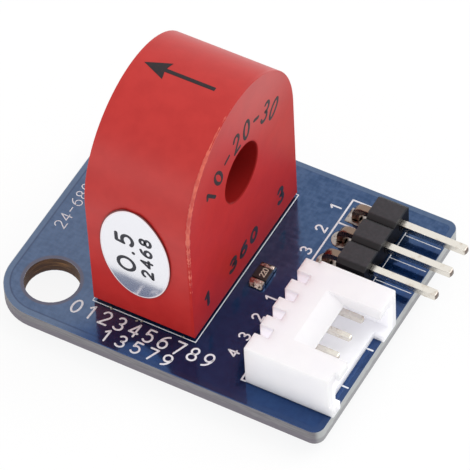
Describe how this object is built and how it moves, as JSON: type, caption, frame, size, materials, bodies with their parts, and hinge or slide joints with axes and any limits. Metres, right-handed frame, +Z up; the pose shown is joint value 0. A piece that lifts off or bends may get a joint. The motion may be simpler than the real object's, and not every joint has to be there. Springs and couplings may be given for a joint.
{
  "type": "current transformer module",
  "caption": "Small blue board that carries a red arched through-hole current transformer, a white side-entry connector and a right-angle pin header.",
  "frame": {"origin": "centre of the board's underside", "axes": "+Z up, out of the board's top; +X along the header pins and the bore; +Y away from the connector"},
  "size_m": [0.0321, 0.0236, 0.0227],
  "materials": {
    "board_blue": "glossy solder mask",
    "case_red": "satin moulded plastic",
    "label_film": "glossy film",
    "core_grey": "coated",
    "winding_copper": "enamelled copper",
    "potting_resin": "cast resin",
    "tinned_pin": "tinned",
    "header_black": "moulded",
    "connector_white": "moulded",
    "resistor_black": "ceramic with a glazed top",
    "solder": "solder"
  },
  "bodies": {
    "root": {"circuit_board": "board_blue", "transformer_case": "case_red", "oval_label": "label_film", "ring_core": "core_grey", "secondary_winding": "winding_copper", "potting_fill": "potting_resin", "transformer_pin_1": "tinned_pin", "transformer_pin_3": "tinned_pin", "header_housing": "header_black", "header_pin_1": "tinned_pin", "header_pin_2": "tinned_pin", "header_pin_3": "tinned_pin", "connector_housing": "connector_white", "connector_pin_1": "tinned_pin", "connector_pin_2": "tinned_pin", "connector_pin_3": "tinned_pin", "connector_pin_4": "tinned_pin", "resistor_body": "resistor_black", "resistor_cap_near": "solder", "resistor_cap_far": "solder", "solder_transformer_1": "solder", "solder_transformer_2": "solder", "solder_header_1": "solder", "solder_header_2": "solder", "solder_header_3": "solder", "solder_connector_1": "solder", "solder_connector_2": "solder", "solder_connector_3": "solder", "solder_connector_4": "solder"}
  },
  "joints": []
}
